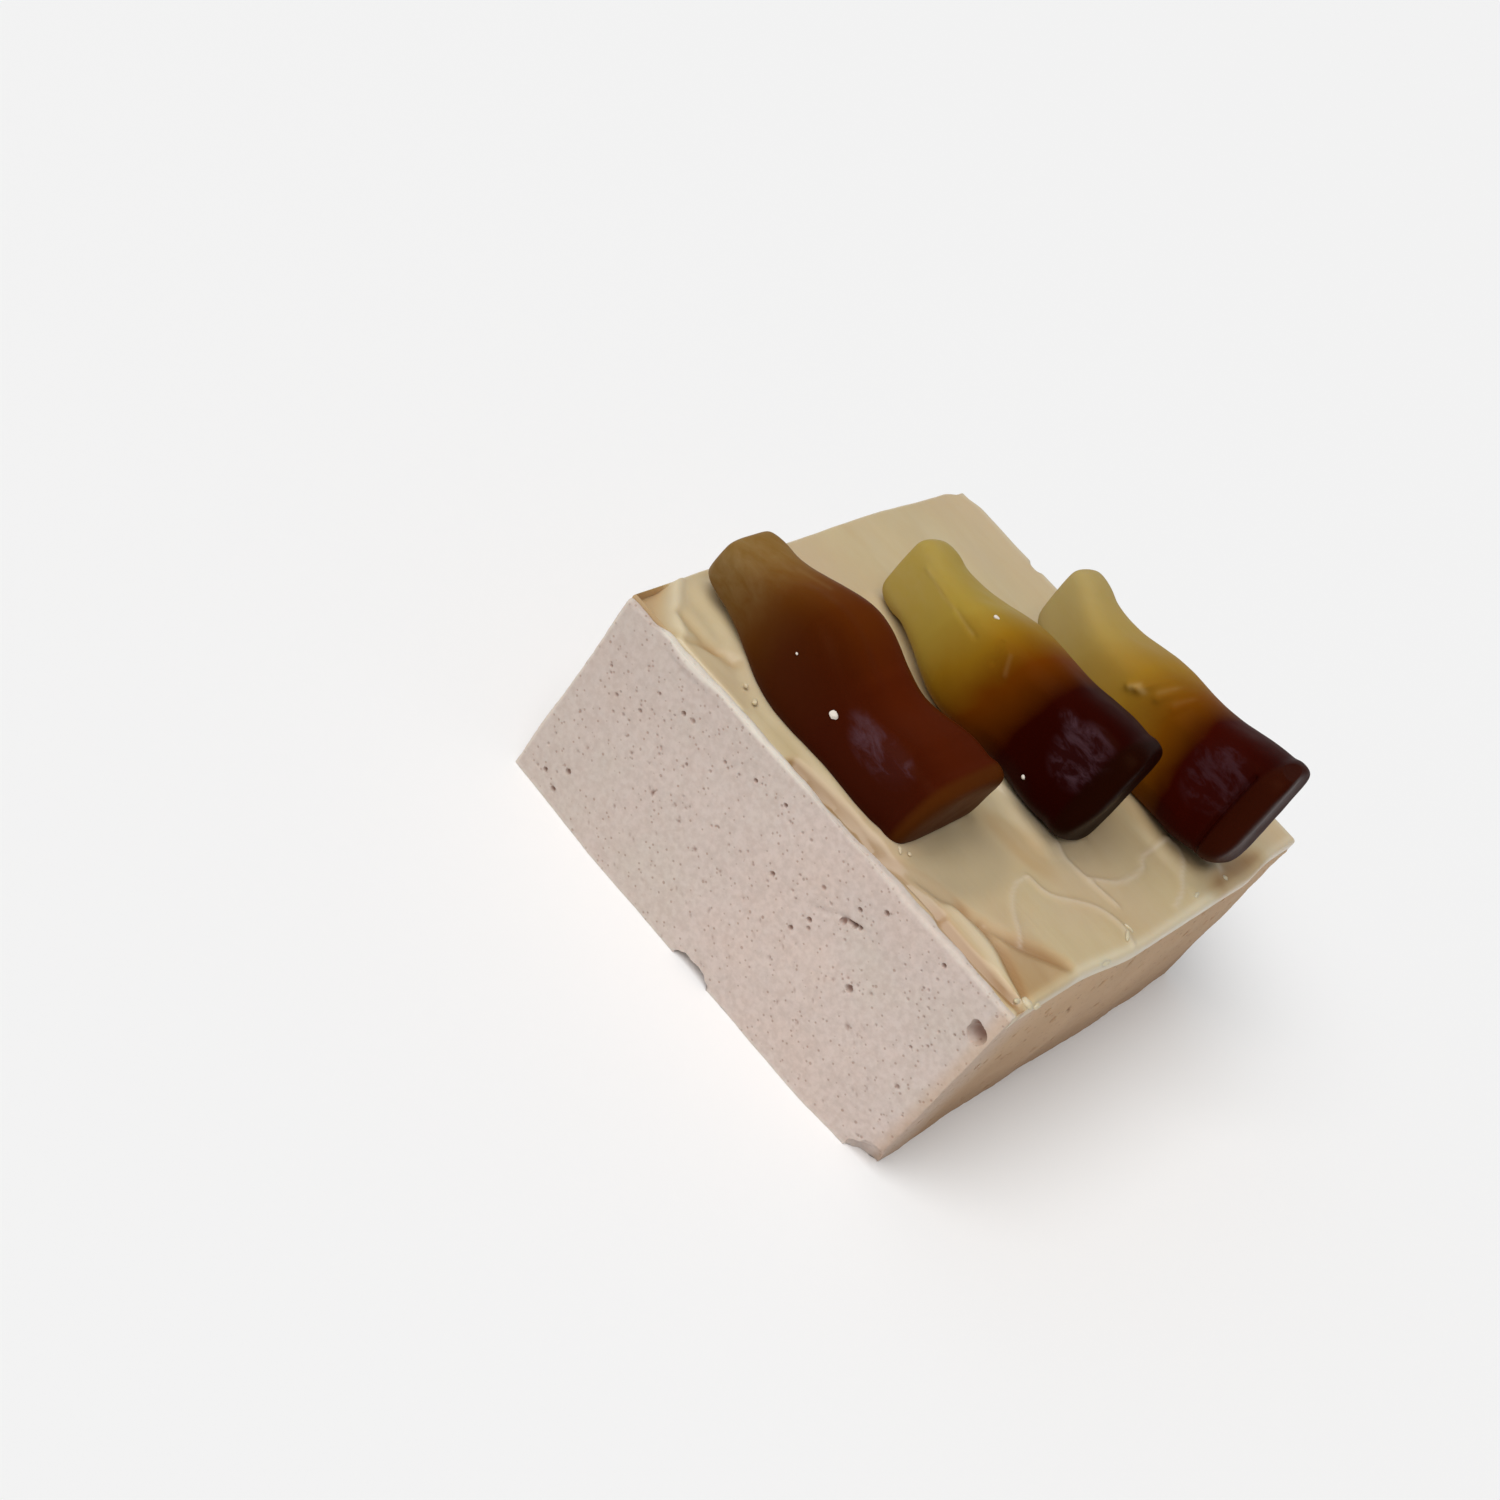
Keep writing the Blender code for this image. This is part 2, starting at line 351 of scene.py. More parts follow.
def noise_at(tree, place, scale, detail=3.0, roughness=0.5, warp=0.0):
    look = {"Vector": place, "Scale": scale, "Detail": detail, "Roughness": roughness, "Distortion": warp}
    return add_node(tree, "ShaderNodeTexNoise", look).outputs["Fac"]


def add_relief(tree, shader, height, strength, depth):
    bump = add_node(tree, "ShaderNodeBump", {"Height": height, "Strength": strength, "Distance": depth})
    tree.links.new(bump.outputs[0], shader.inputs["Normal"])


def set_sockets(shader, values):
    for key, value in values.items():
        shader.inputs[key].default_value = value


def srgb(*levels):
    """Red, green and blue as the eye reads them from 0 to 255, for a shader's socket."""
    return tuple(((c / 255 + 0.055) / 1.055) ** 2.4 if c > 10 else c / 255 / 12.92 for c in levels)


# The foam slab


def pores(tree, place, scale, share, size):
    """Round pores in a share of the cells of an even spread: painted shade inside them, and dents."""
    cells = add_node(tree, "ShaderNodeTexVoronoi", {"Vector": place, "Scale": scale, "Randomness": 1.0})
    draw = add_node(tree, "ShaderNodeSeparateColor", {"Color": cells.outputs["Color"]}).outputs[0]
    kept = sums(tree, "GREATER_THAN", draw, 1.0 - share)
    near = grow(tree, cells.outputs["Distance"], size * 0.45, size, 1.0, 0.0, "SMOOTHSTEP")
    return sums(tree, "MULTIPLY", near, kept)


def tan_right_wall(tree, colour, patches, axes):
    """Paints the foam's right wall tan, darker at its foot and fainter near the front."""
    across, deep, high = axes
    right_band = grow(tree, across, RIGHT - 2.2 * MM, RIGHT - 0.5 * MM, kind="SMOOTHSTEP")
    rise = sums(tree, "ADD", grow(tree, high, 4 * MM, 24 * MM), waver(tree, patches, 0.8), clamp=True)
    tanned = blend(tree, rise, srgb(166, 132, 98), srgb(202, 168, 131))
    inward = grow(tree, deep, FRONT, FRONT + 10 * MM, 0.4, 0.92)
    return blend(tree, sums(tree, "MULTIPLY", right_band, inward), colour, tanned)


def foam_finish():
    finish, tree, shader = new_finish("marshmallow_foam")
    place = object_place(tree)
    axes = axes_of(tree, place)
    patches = noise_at(tree, place, 70.0, 3.0, 0.55)
    colour = ramp(tree, patches, (0.30, srgb(205, 192, 181)), (0.52, srgb(208, 192, 183)),
                  (0.72, srgb(210, 191, 180)))
    shaded = grow(tree, axes[0], LEFT, 0.0, 0.38, 0.0)
    colour = blend(tree, shaded, colour, srgb(188, 176, 166))
    grain = noise_at(tree, place, 1300.0, 2.0, 0.6)
    colour = blend(tree, ramp(tree, grain, (0.36, 0.0), (0.66, 0.34)), colour, srgb(174, 154, 142))
    colour = tan_right_wall(tree, colour, patches, axes)
    fine = sums(tree, "MULTIPLY", pores(tree, place, 1250.0, 0.8, 0.24), 0.5)
    medium = sums(tree, "MULTIPLY", pores(tree, place, 520.0, 0.65, 0.13), 0.55)
    shallow = sums(tree, "MAXIMUM", fine, medium)
    hollow = painted(tree, "hollow")
    # Painted shade in the small pores, then in the wide pores and the crack
    colour = blend(tree, shallow, colour, srgb(154, 124, 107))
    colour = blend(tree, hollow, colour, srgb(122, 74, 52))
    # Pale top of the lip: glaze dripped onto it, and a painted highlight along its edge and along the front's
    # left and bottom cut edges
    colour = blend(tree, sums(tree, "MULTIPLY", painted(tree, "lip"), 0.75), colour, srgb(228, 220, 206))
    tree.links.new(colour, shader.inputs["Base Color"])
    set_sockets(shader, {"Roughness": 0.8, "Specular IOR Level": 0.2, "Subsurface Weight": 0.2,
                         "Subsurface Radius": (1.0, 0.6, 0.45), "Subsurface Scale": 1.0 * MM})
    holes = sums(tree, "MAXIMUM", shallow, hollow, clamp=True)
    height = sums(tree, "SUBTRACT", sums(tree, "MULTIPLY", grain, 0.25), holes)
    add_relief(tree, shader, height, 0.6, 0.15 * MM)
    return finish


# Each wall of the foam: its axis, its place and the way in
WALLS = {"front": (1, FRONT, 1), "back": (1, BACK, -1), "left": (0, LEFT, 1), "right": (0, RIGHT, -1)}

# The foam's front edge stands in front of the glaze, which has dripped onto it at this share of the edge
LIP_WIDTH = 0.8 * MM
LIP_TOP = 27.4 * MM
DRIP = 0.17

# How many strips the foam is cut into along each axis, before its walls are cut finer
FOAM_STRIPS = (48, 54, 21)

# Broken places of the foam in mm: the middle of what is missing and its half sizes
BREAKS = {
    "front_notch": ((0.45, -34.5, -0.3), (3.3, 3.2, 1.6)),
    "corner_chip": ((29.75, -33.9, -0.6), (4.6, 2.8, 4.2)),
}

# Wide pores that stand out on the front, in shares of its edge, with their reach in mm
FRONT_HOLES = (
    ((0.853, 0.412), 0.5), ((0.757, 0.228), 0.75), ((0.623, 0.26), 0.55), ((0.607, 0.22), 0.5),
    ((0.68, 0.355), 0.5), ((0.72, 0.395), 0.55), ((0.255, 0.188), 0.5), ((0.52, 0.268), 0.5),
    ((0.39, 0.372), 0.45), ((0.46, 0.385), 0.45), ((0.21, 0.352), 0.5), ((0.1, 0.07), 0.6),
    ((0.095, 0.015), 0.55), ((0.06, 0.03), 0.5), ((0.67, 0.31), 0.7), ((0.69, 0.322), 0.6),
    ((0.70, 0.328), 0.5), ((0.972, 0.366), 1.95), ((0.962, 0.378), 1.1),
)

# The crack, in the same shares
CRACK = ((0.61, 0.285), (0.635, 0.297), (0.66, 0.315), (0.685, 0.322), (0.71, 0.332), (0.74, 0.325))

# Pores strewn over the front and over every other wall: depth and reach in mm, how many, and how dark the
# shade painted in them is
FRONT_PORES = ((0.12, 0.2, 120, 0.35), (0.2, 0.28, 20, 0.5))
OTHER_PORES = ((0.25, 0.3, 80, 0.5), (0.45, 0.5, 16, 0.7))
DEEPEST_PORE = 1.3 * MM


def scoop_out(foam, name, centre, radii):
    """Breaks a rough chip out of the foam with a lumpy ball."""
    deselect()
    bpy.ops.mesh.primitive_ico_sphere_add(subdivisions=5, radius=1.0, location=(0, 0, 0))
    ball = bpy.context.active_object
    ball.name = name
    ball.scale = [r * MM for r in radii]
    ball.location = [c * MM for c in centre]
    bpy.ops.object.transform_apply(location=True, rotation=True, scale=True)
    roughen(ball, name + "_lumps", 1.3 * MM, 0.9 * MM)
    finish_with(foam, "BOOLEAN", operation="DIFFERENCE", object=ball, solver="EXACT")
    bpy.data.objects.remove(ball)


def make_foam():
    foam = add_brick("marshmallow_foam", (LEFT, FRONT, 0.0), (RIGHT, BACK, FOAM_TOP))
    raise_front_lip(foam)
    work_on(foam, "EDGE")
    bpy.ops.mesh.edges_select_sharp(sharpness=math.radians(30))
    bpy.ops.mesh.bevel(offset=0.33 * MM, segments=2, profile=0.6)
    cut_levels(0, LEFT, RIGHT, FOAM_STRIPS[0])
    cut_levels(1, FRONT + LIP_WIDTH, BACK, FOAM_STRIPS[1])
    cut_levels(2, 0, FOAM_TOP, FOAM_STRIPS[2])
    bow_walls(foam)
    cut_walls_finer(foam)
    leave()
    for name, (centre, radii) in BREAKS.items():
        scoop_out(foam, name, centre, radii)
    roughen(foam, "foam_swell", 11 * MM, 0.6 * MM, depth=1)
    roughen(foam, "foam_crumb", 0.9 * MM, 0.12 * MM)
    widen_front_lip(foam)
    plan = plan_pores()
    refine_around(foam, plan)
    hollow = open_pores(foam, plan)
    paint_foam(foam, np.maximum(hollow, tear_crack(foam)))
    keep_to_size(foam)
    shade_softly(foam)
    foam.data.materials.clear()
    foam.data.materials.append(foam_finish())
    return foam


def bow_walls(foam):
    """Bows the foam's walls as the knife left them, and lets its top and its back left corner sink."""
    bpy.ops.mesh.select_mode(type="VERT")
    x, y, z = places(foam).T
    at_right = x > RIGHT - CLOSE
    front_foot = (y < FRONT + CLOSE) & (z < 3 * MM) & (abs(x - (LEFT + RIGHT) / 2) < 14 * MM)
    pull(foam, front_foot, (0, -0.9 * MM, 0), 20 * MM)
    pull(foam, at_right & (z < 1.5 * MM) & (y < 0), (-0.5 * MM, 0, 0), 17 * MM)
    right_middle = at_right & (abs(z - 13 * MM) < 4 * MM) & (y > -10 * MM) & (y < 24 * MM)
    pull(foam, right_middle, (0.65 * MM, 0, 0), 12 * MM)
    pull(foam, np.hypot(x - LEFT, y - BACK) < 1.0 * MM, (0.7 * MM, -0.7 * MM, 0), 3.5 * MM)
    pull(foam, (z > FOAM_TOP - CLOSE) & (y > BACK - 3 * MM), (0, 0, -1.1 * MM), 20 * MM)


def cut_walls_finer(foam):
    """Cuts the front and its lip into fine faces, and the other walls into less fine ones."""
    front, top = FRONT + 0.3 * MM, FOAM_TOP + 0.1 * MM
    bpy.ops.mesh.select_mode(type="FACE")
    pick_faces(foam, lambda spot, normal: (spot.y < front or spot.z > top) and normal.z > -0.8)
    bpy.ops.mesh.subdivide(number_cuts=3)
    pick_faces(foam, lambda spot, normal: spot.y > front and abs(normal.z) < 0.8 and spot.z < top)
    bpy.ops.mesh.subdivide(number_cuts=2)


def paint_foam(foam, hollow):
    """Paints the shade in the foam's hollows, the pale top of the lip, which is glaze dripped onto it and a
    painted highlight along its edge, and a painted highlight along the front's cut edges.
    """
    x, y, z = rows_of(foam).T
    u = (x - LEFT) / SIDE
    low = GLAZE_TOP - 0.75 * MM - 0.5 * MM * bell(u, DRIP, 0.05)
    # The pale top of the lip: glaze dripped onto it, and a painted highlight along its edge
    lip = ease((z - low) / (0.4 * MM)) * (y < FRONT + 3 * MM) * (1 - 0.6 * ease((u - 0.4) / 0.15))
    inside = np.minimum(x - LEFT, z) - 0.25 * MM
    # A painted highlight along the front's left and bottom cut edges
    edges = 0.5 * (1 - ease(inside / (0.2 * MM))) * (y < FRONT + 0.6 * MM)
    paint(foam, "hollow", hollow)
    paint(foam, "lip", np.maximum(lip, edges))


def keep_to_size(foam):
    """Presses the underside flat, and whatever stands out past the part's own size."""
    work_on(foam)
    x, y, z = places(foam).T
    level_off(foam, z < 0.5 * MM, 2, 0)
    for side in (-1, 1):
        level_off(foam, y * side > DEEPEST, 1, side * DEEPEST)
        level_off(foam, x * side > WIDEST, 0, side * WIDEST)
    leave()


def raise_front_lip(foam):
    """Draws the foam's front edge up in front of the glaze."""
    work_on(foam, "FACE")
    bpy.ops.mesh.select_all(action="SELECT")
    bpy.ops.mesh.bisect(plane_co=(0, FRONT + LIP_WIDTH, 0), plane_no=(0, 1, 0))
    pick_faces(foam, lambda spot, normal: normal.z > 0.9 and spot.y < FRONT + LIP_WIDTH)
    bpy.ops.mesh.extrude_region_move(TRANSFORM_OT_translate={"value": (0, 0, LIP_TOP - FOAM_TOP)})
    leave()


def widen_front_lip(foam):
    """Widens the lip to the right as far as its step, lowers it at the left corner and lets its top waver."""
    x, y, z = rows_of(foam).T
    u = (x - LEFT) / SIDE
    wide = ease((u - 0.38) / 0.4) * (1 - 0.6 * ease((u - 0.785) / 0.015))
    back = ease((y - FRONT - 0.35 * MM) / (0.4 * MM)) * (y < FRONT + 2 * MM)
    raise_by(foam, wide * back * (z > FOAM_TOP + 0.15 * MM), 0.5 * MM, "Y")
    top = ease((z - FOAM_TOP - 0.5 * MM) / (0.6 * MM))
    raise_by(foam, top * (0.5 + 0.3 * np.sin(u * 31) + 0.2 * np.sin(u * 83)), 0.22 * MM)
    corner = ease((z - FOAM_TOP) / (1.4 * MM)) * (y < FRONT + 2 * MM) * (1 - ease((u - 0.06) / 0.05))
    raise_by(foam, corner, -0.8 * MM)
    drip = ease((z - FOAM_TOP + 0.2 * MM) / (0.5 * MM)) * (y < FRONT + 0.3 * MM) * bell(u, DRIP, 0.06)
    raise_by(foam, drip, -0.3 * MM, "Y")


def plan_pores():
    """Where the wide pores open: each one's wall, place, depth, reach and the darkness of the shade painted
    in it.
    """
    rng = random.Random(11)
    plan = []
    for name, (axis, wall, _) in WALLS.items():
        span = (LEFT, RIGHT) if axis == 1 else (FRONT, BACK)
        for depth, reach, count, dark in FRONT_PORES if name == "front" else OTHER_PORES:
            for _ in range(count):
                spot = [wall, wall, rng.uniform(1.5 * MM, FOAM_TOP - 2 * MM)]
                spot[1 - axis] = rng.uniform(span[0] + 1.5 * MM, span[1] - 1.5 * MM)
                plan.append((name, Vector(spot), depth * MM, reach * rng.uniform(0.75, 1.2) * MM, dark))
    for (u, height), reach in FRONT_HOLES:
        plan.append(("front", on_front(u, height), 0.7 * reach * MM, 0.62 * reach * MM, 0.7))
    return plan


def refine_around(foam, plan):
    """Cuts the faces finer where pores will open."""
    tree = kdtree.KDTree(len(plan))
    for number, (_, spot, *_) in enumerate(plan):
        tree.insert(spot, number)
    tree.balance()
    for wider in (0.22 * MM, 0.08 * MM):
        work_on(foam, "FACE")

        def close(spot, normal):
            return any(gap < plan[number][3] + wider for _, number, gap in tree.find_range(spot, 2.4 * MM))
        pick_faces(foam, close)
        bpy.ops.mesh.subdivide(number_cuts=1)
        leave()


def open_pores(foam, plan):
    """Presses each planned pore into its wall, steep at its edge, and says how hollow each vertex is, for the
    shade painted in the pores.
    """
    at = rows_of(foam)
    hollow = np.zeros(len(at))
    for name, (axis, wall, inward) in WALLS.items():
        near = np.nonzero(abs(at[:, axis] - wall) < 1.8 * MM)[0]
        depth = np.zeros(len(at))
        for _, spot, deep, reach, dark in (pore for pore in plan if pore[0] == name):
            share = np.linalg.norm(np.delete(at[near] - np.array(spot), axis, 1), axis=1) / reach
            depth[near] = np.maximum(depth[near], deep * np.sqrt(np.clip(1 - share ** 2, 0, 1)))
            # How dark the shade painted in the pore is
            hollow[near] = np.maximum(hollow[near], dark * np.exp(-(share / 0.8) ** 4))
        raise_by(foam, depth / DEEPEST_PORE, DEEPEST_PORE * inward, "XY"[axis])
    return hollow


def tear_crack(foam):
    """Tears the thin crack in the front, deepest in its middle, and says how hollow each vertex is, for the
    shade painted in the crack.
    """
    at = rows_of(foam)
    line = through([on_front(*pair).xz for pair in CRACK])
    away = away_from_line(at[:, [0, 2]], line)
    u = (at[:, 0] - LEFT) / SIDE
    deep = 0.15 + 0.6 * bell(u, 0.682, 0.018) + 0.25 * bell(u, 0.63, 0.02)
    torn = bell(away, 0, 0.24 * MM) * (at[:, 1] < FRONT + 2 * MM) * deep
    raise_by(foam, torn, 0.7 * MM, "Y")
    return 0.8 * torn * ease((deep - 0.3) / 0.4)


# The glaze

# Folds of the glaze in shares of the front edge: the line, its rise and half width in mm, and how tan it is,
# as painted shade in a crease and, below zero, a painted highlight on a ridge
GLAZE_FOLDS = {
    "corner_lip": (((0.0, 0.13), (0.035, 0.085), (0.07, 0.05), (0.11, 0.028)), 0.45, 0.8, -0.35),
    "corner_crease": (((0.07, 0.066), (0.1, 0.066), (0.136, 0.066), (0.168, 0.074), (0.2, 0.082)),
                      -0.4, 0.8, 0.35),
    "corner_fork": (((0.1, 0.02), (0.124, 0.03), (0.14, 0.048), (0.165, 0.07)), -0.25, 0.5, 0.3),
    "rim_groove": (((0.42, 0.02), (0.55, 0.031), (0.66, 0.037), (0.775, 0.043), (0.8, 0.037), (0.93, 0.036),
                    (1.0, 0.036)),
                   -0.9, 0.6, 1.2),
    "long_fold": (((0.6, 0.02), (0.64, 0.037), (0.715, 0.064), (0.795, 0.10), (0.848, 0.13), (0.9, 0.158),
                   (0.94, 0.196), (0.97, 0.22)),
                  -0.5, 0.75, 0.35),
    "fan_ridge": (((0.78, 0.08), (0.87, 0.078), (0.93, 0.055), (0.985, 0.04)), 0.45, 0.75, -0.35),
    "fan_crease": (((0.835, 0.115), (0.88, 0.106), (0.92, 0.09), (0.955, 0.073), (0.99, 0.06)),
                   -0.5, 0.55, 0.5),
}

# Where the glaze leaves the front left corner bare, and where it is notched at the back, in shares
BARE_CORNER = 0.105
BACK_NOTCH = 0.235

# Thin pale strings on the glaze: the line and its rise in mm
GLAZE_STRINGS = (
    (((0.8, 0.31), (0.85, 0.325), (0.9, 0.4), (0.95, 0.425), (0.99, 0.41)), 0.22),
    (((0.8, 0.31), (0.8, 0.27), (0.82, 0.23), (0.85, 0.2), (0.9, 0.16)), 0.12),
    (((0.5, 0.42), (0.65, 0.43), (0.77, 0.433), (0.917, 0.458)), 0.2),
    (((0.867, 0.717), (0.87, 0.633), (0.8875, 0.6), (0.8875, 0.517), (0.858, 0.454)), 0.25),
    (((0.867, 0.717), (0.9, 0.72), (0.95, 0.66), (0.97, 0.6)), 0.15),
)

# Tan bands, partly the glaze's own tone and partly painted shade by the folds and by the gummies, and
# grey-cream pools of painted reflection and shade: middle in shares, half sizes in shares, turn in degrees,
# and amount
TAN_BANDS = (
    ((0.70, 0.40), (0.20, 0.05), 4.0, -0.08), ((0.86, 0.74), (0.14, 0.045), 6.0, 0.15),
    ((0.965, 0.14), (0.09, 0.08), 0.0, 0.4), ((0.2, 0.05), (0.16, 0.05), 0.0, -0.12),
    ((0.08, 0.1), (0.12, 0.12), 0.0, -0.05), ((0.73, 0.075), (0.08, 0.022), 25.0, 0.5),
    ((1.0, 0.86), (0.05, 0.13), 0.0, 0.55), ((0.74, 0.36), (0.09, 0.035), 8.0, 0.22),
)
# Pools of painted grey reflection and shade by the gummies' bases
REFLECTION_POOLS = (
    ((0.72, 0.20), (0.075, 0.12), 0.0, 1.0), ((0.86, 0.56), (0.07, 0.10), 0.0, 0.1),
    ((0.45, 0.02), (0.3, 0.05), 10.0, 0.3), ((0.72, 0.09), (0.06, 0.05), 0.0, 0.9),
)

# Torn flakes and crumbs on the glaze: place and half sizes in mm, then turn in degrees
GLAZE_FLAKES = (
    ((28.9, -29.6, 27.4), (0.75, 0.55, 0.4), 20), ((28.2, -30.6, 27.45), (0.5, 0.35, 0.3), 70),
    ((29.5, -28.2, 27.1), (0.4, 0.6, 0.35), 0), ((29.6, -14.2, 27.25), (0.45, 0.95, 0.3), -15),
    ((28.6, -8.4, 27.85), (0.25, 0.9, 0.22), 35), ((28.0, -7.2, 27.8), (0.7, 0.2, 0.2), 20),
    ((28.9, 7.6, 27.6), (0.25, 0.6, 0.2), 10), ((29.0, 14.4, 27.6), (0.4, 0.3, 0.25), 40),
    ((8.4, -28.9, 27.95), (0.55, 0.22, 0.18), -30), ((9.3, -28.1, 27.9), (0.3, 0.2, 0.15), 0),
    ((-15.3, -30.1, 28.15), (0.28, 0.22, 0.25), 0), ((-13.2, -30.7, 28.1), (0.3, 0.4, 0.28), 20),
)


def patch(plan, middle, half, turn):
    """How much each spot in plan belongs to a soft oval patch."""
    off = plan - np.array(on_top(*middle).to_2d())
    c, s = math.cos(math.radians(turn)), math.sin(math.radians(turn))
    along, across = off @ (c, s), off @ (-s, c)
    reach = np.hypot(along / (half[0] * SIDE), across / (half[1] * SIDE))
    return 1 - ease((reach - 0.7) / 0.6)


def glaze_finish():
    finish, tree, shader = new_finish("cream_glaze")
    place = object_place(tree)
    streaks = narrowed(tree, place, (1.0, 3.2, 1.0), 12)
    flow = noise_at(tree, streaks, 60.0, 3.0, 0.55, 0.6)
    # The tan paint holds the glaze's own tone and the painted shade and highlight of its folds and by the
    # gummies
    tone = sums(tree, "ADD", painted(tree, "tan"), waver(tree, flow, 0.35))
    colour = ramp(tree, tone, (0.0, srgb(212, 198, 166)), (0.35, srgb(200, 180, 140)),
                  (0.6, srgb(192, 164, 120)), (1.0, srgb(158, 118, 68)))
    pink = ramp(tree, noise_at(tree, place, 38.0, 2.0), (0.42, 0.0), (0.7, 0.55))
    colour = blend(tree, pink, colour, srgb(200, 172, 142))
    # Painted grey-cream reflection and shade near the gummies
    pool = sums(tree, "MULTIPLY", painted(tree, "pool"), 0.75, clamp=True)
    colour = blend(tree, pool, colour, srgb(182, 164, 131))
    # Pale strings, and a painted highlight where the glaze meets the gummies
    colour = blend(tree, painted(tree, "pale"), colour, srgb(214, 200, 182))
    tree.links.new(colour, shader.inputs["Base Color"])
    set_sockets(shader, {"Roughness": 0.32, "Specular IOR Level": 0.4, "Coat Weight": 0.1,
                         "Coat Roughness": 0.15, "Subsurface Weight": 0.25,
                         "Subsurface Radius": (1.0, 0.7, 0.4), "Subsurface Scale": 1.0 * MM})
    add_relief(tree, shader, noise_at(tree, streaks, 160.0, 2.0, 0.5, 0.8), 0.25, 0.12 * MM)
    return finish


def make_glaze(gummies):
    low = (LEFT, FRONT + LIP_WIDTH - 0.25 * MM, FOAM_TOP - 0.1 * MM)
    glaze = add_brick("cream_glaze", low, (RIGHT, BACK, GLAZE_TOP))
    work_on(glaze, "EDGE")
    pick_edges(glaze, lambda a, b: min(a.z, b.z) > FOAM_TOP + 0.5 * MM)
    bpy.ops.mesh.bevel(offset=0.55 * MM, segments=3, profile=0.5)
    slice_rows(glaze, 0, 12, 12)
    slice_rows(glaze, 1, 12, 13)
    slice_rows(glaze, 2, 1)
    flat = places(glaze)
    sag_glaze(glaze, flat)
    leave()
    plan, upper = flat[:, :2], flat[:, 2] > GLAZE_TOP - CLOSE
    tan, pale, corner = fold_glaze(glaze, plan, upper)
    gap = gather_at_gummies(glaze, upper, gummies)
    roughen(glaze, "glaze_swell", 7 * MM, 0.3 * MM, depth=1, direction="Z")
    rim = np.maximum(np.minimum(RIGHT - plan[:, 0], BACK - plan[:, 1]), 0)
    # Tan bands: partly the glaze's own tone, partly painted shade by the folds and by the gummies
    for middle, half, turn, amount in TAN_BANDS:
        tan += amount * patch(plan, middle, half, turn)
    tan -= 0.4 * np.exp(-(rim / (1.1 * MM)) ** 4) * (1 - corner)
    # Painted reflection and shade close to the gummies, then in the listed pools
    pool = 0.3 * bell(gap, 0, 1.2 * MM)
    for middle, half, turn, amount in REFLECTION_POOLS:
        pool = np.maximum(pool, amount * patch(plan, middle, half, turn))
    pale = np.maximum(pale, 0.12 * bell(rim, 0, 0.5 * MM))
    # A painted highlight on the glaze where it meets the gummies
    pale = np.maximum(pale, 0.15 * bell(gap, 0, 0.45 * MM) * upper)
    paint(glaze, "tan", tan)
    paint(glaze, "pool", pool)
    paint(glaze, "pale", pale)
    glaze.data.materials.append(glaze_finish())
    add_crumbs(glaze, GLAZE_FLAKES, glaze.data.materials[0])
    shade_softly(glaze)
    return glaze


def sag_glaze(glaze, flat):
    """Bows the glaze with the foam's walls, lets it sink at back and front, and notches its back edge."""
    bpy.ops.mesh.select_mode(type="VERT")
    x, y, _ = flat.T
    pull(glaze, y > BACK - 3 * MM, (0, 0, -1.1 * MM), 20 * MM)
    right_middle = (x > RIGHT - CLOSE) & (y > FRONT + 26 * MM) & (y < BACK - 16 * MM)
    pull(glaze, right_middle, (1.0 * MM, 0, 0), 12 * MM)
    pull(glaze, (y < FRONT + 1.0 * MM) & (x > LEFT + 0.3 * SIDE), (0, 0, -0.35 * MM), 1.2 * MM)
    pull(glaze, np.hypot(x - LEFT, y - BACK) < 1.0 * MM, (0.7 * MM, -0.7 * MM, 0), 3.5 * MM)
    notch = on_top(BACK_NOTCH, 0)
    pull(glaze, np.hypot(x - notch.x, y - BACK) < 0.3 * MM, (0, -0.9 * MM, -0.4 * MM), 1.1 * MM)


def fold_glaze(glaze, plan, upper):
    """Bares the front left corner, lays the folds and strings, and says how tan, pale and bare it all is; the
    tan of the folds is painted shade in the creases and painted highlight on the ridges.
    """
    corner = ease(2.0 - 1.5 * (plan - (LEFT, FRONT)).sum(1) / (BARE_CORNER * SIDE))
    raise_by(glaze, corner * upper, -1.35 * MM)
    tan = 0.35 + 0.42 * corner
    for line, rise, half, amount in GLAZE_FOLDS.values():
        away = away_from_line(plan, plan_line(line))
        raise_by(glaze, bell(away, 0, half * MM) * upper, rise * MM)
        # Painted shade in the creases, and painted highlight on the ridges
        tan += amount * bell(away, 0, 1.2 * half * MM)
    pale = np.zeros(len(plan))
    for line, rise in GLAZE_STRINGS:
        away = away_from_line(plan, plan_line(line))
        raise_by(glaze, bell(away, 0, 0.35 * MM) * upper, rise * MM)
        pale = np.maximum(pale, 0.42 * bell(away, 0, 0.25 * MM))
    return tan, pale, corner


def gather_at_gummies(glaze, upper, gummies):
    """Lifts the glaze to the gummies that lie in it, and says how far each spot is from them."""
    depsgraph = bpy.context.evaluated_depsgraph_get()
    surfaces = [BVHTree.FromObject(gummy, depsgraph) for gummy in gummies]
    full, far = 1.4 * MM, 10 * MM
    raise_by(glaze, reach_up(rows_of(glaze), upper, surfaces) / full, full)
    gap = np.array([min(surface.find_nearest(Vector(spot))[3] for surface in surfaces) if high else far
                    for spot, high in zip(rows_of(glaze), upper)])
    raise_by(glaze, np.exp(-gap / (0.8 * MM)) * upper, 0.22 * MM)
    return gap


